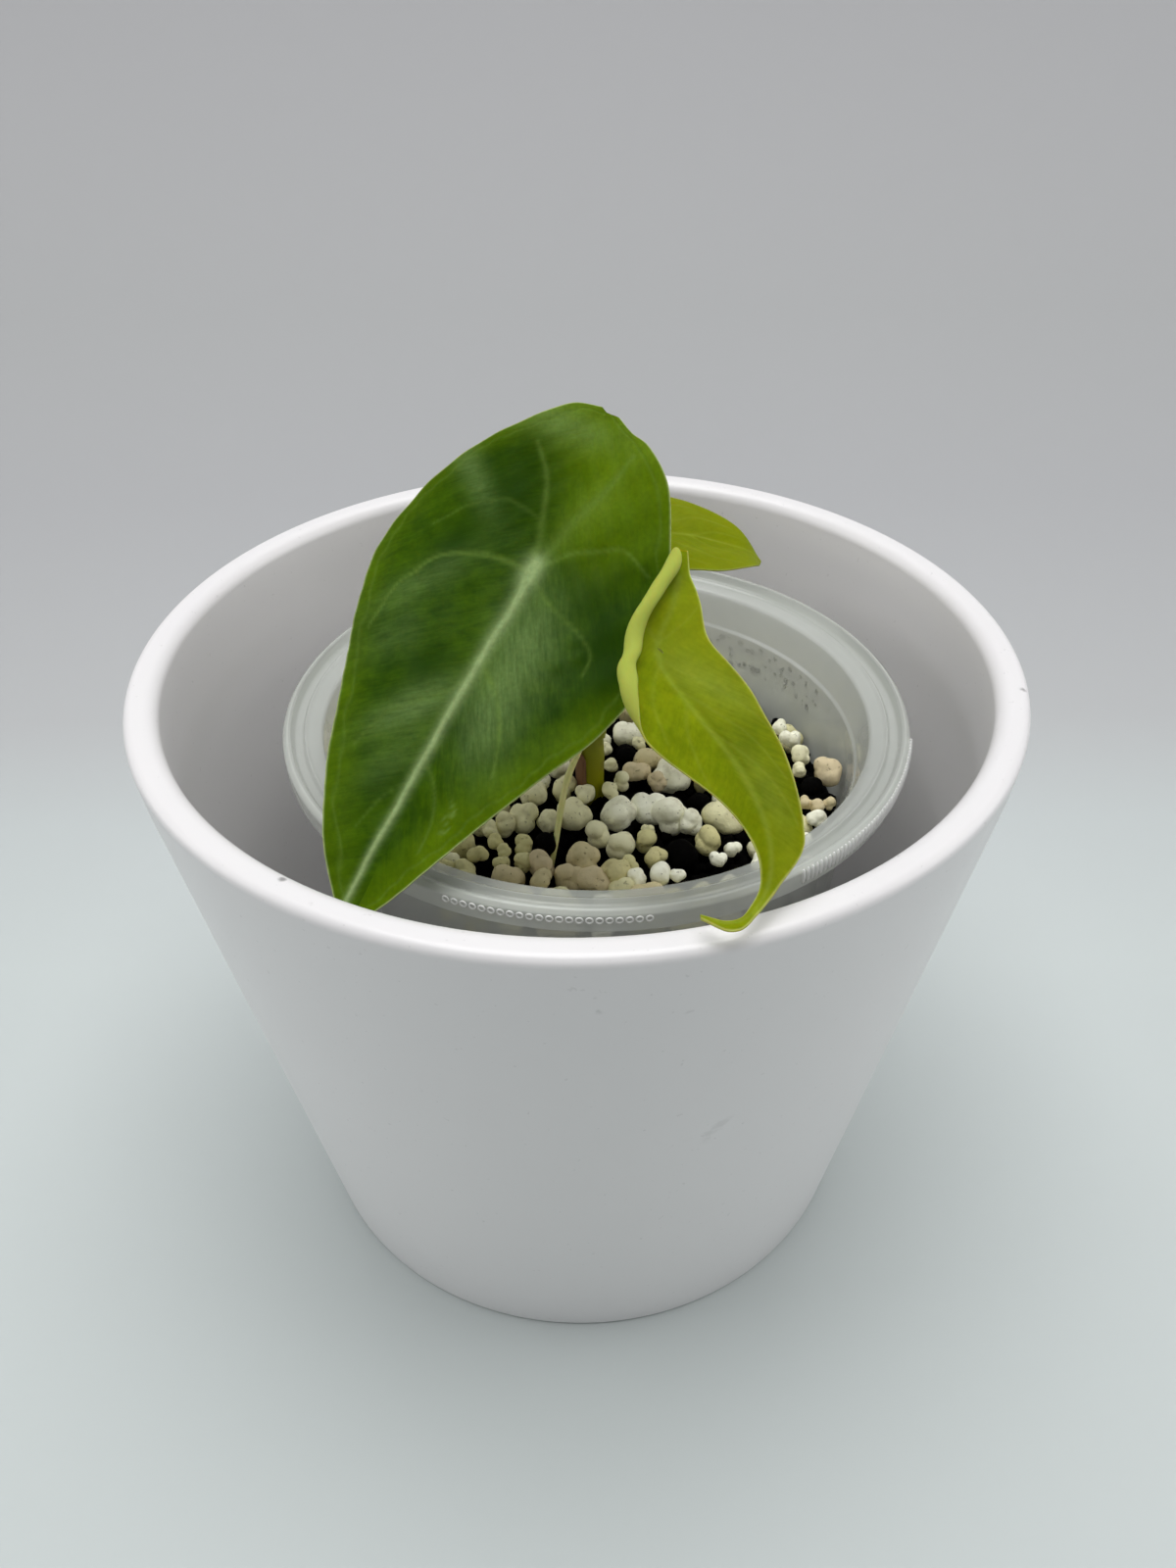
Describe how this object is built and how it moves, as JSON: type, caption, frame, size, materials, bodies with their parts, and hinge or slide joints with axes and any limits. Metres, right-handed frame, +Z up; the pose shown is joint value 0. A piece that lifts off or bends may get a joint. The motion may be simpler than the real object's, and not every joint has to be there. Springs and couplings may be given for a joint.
{
  "type": "potted alocasia longiloba",
  "caption": "Young alocasia longiloba rooted in a clear growing cup of chunky charcoal and perlite mix, standing loose inside a plain white tapered cover pot.",
  "frame": {"origin": "middle of the cover pot's underside, on the surface it stands on", "axes": "+Z up along the pot's axis; the pictured front, over which the young leaf hangs, faces -Y; +X is to the right in the picture"},
  "size_m": [0.16, 0.16, 0.1706],
  "materials": {
    "pot_glaze": "satin",
    "clear_cup": "satin",
    "charcoal": "matte",
    "perlite": "matte",
    "stem": "satin",
    "root": "satin",
    "mature_leaf": "satin",
    "young_leaf": "satin",
    "back_leaf": "satin"
  },
  "bodies": {
    "root": {"cover_pot": "pot_glaze", "growing_cup": "clear_cup", "charcoal_mix": "charcoal", "perlite_grains": "perlite", "stem_base": "stem", "aerial_root": "root", "big_leaf_stalk": "stem", "young_leaf_stalk": "stem", "back_leaf_stalk": "stem", "big_leaf_blade": "mature_leaf", "young_leaf_blade": "young_leaf", "back_leaf_blade": "back_leaf"}
  },
  "joints": []
}
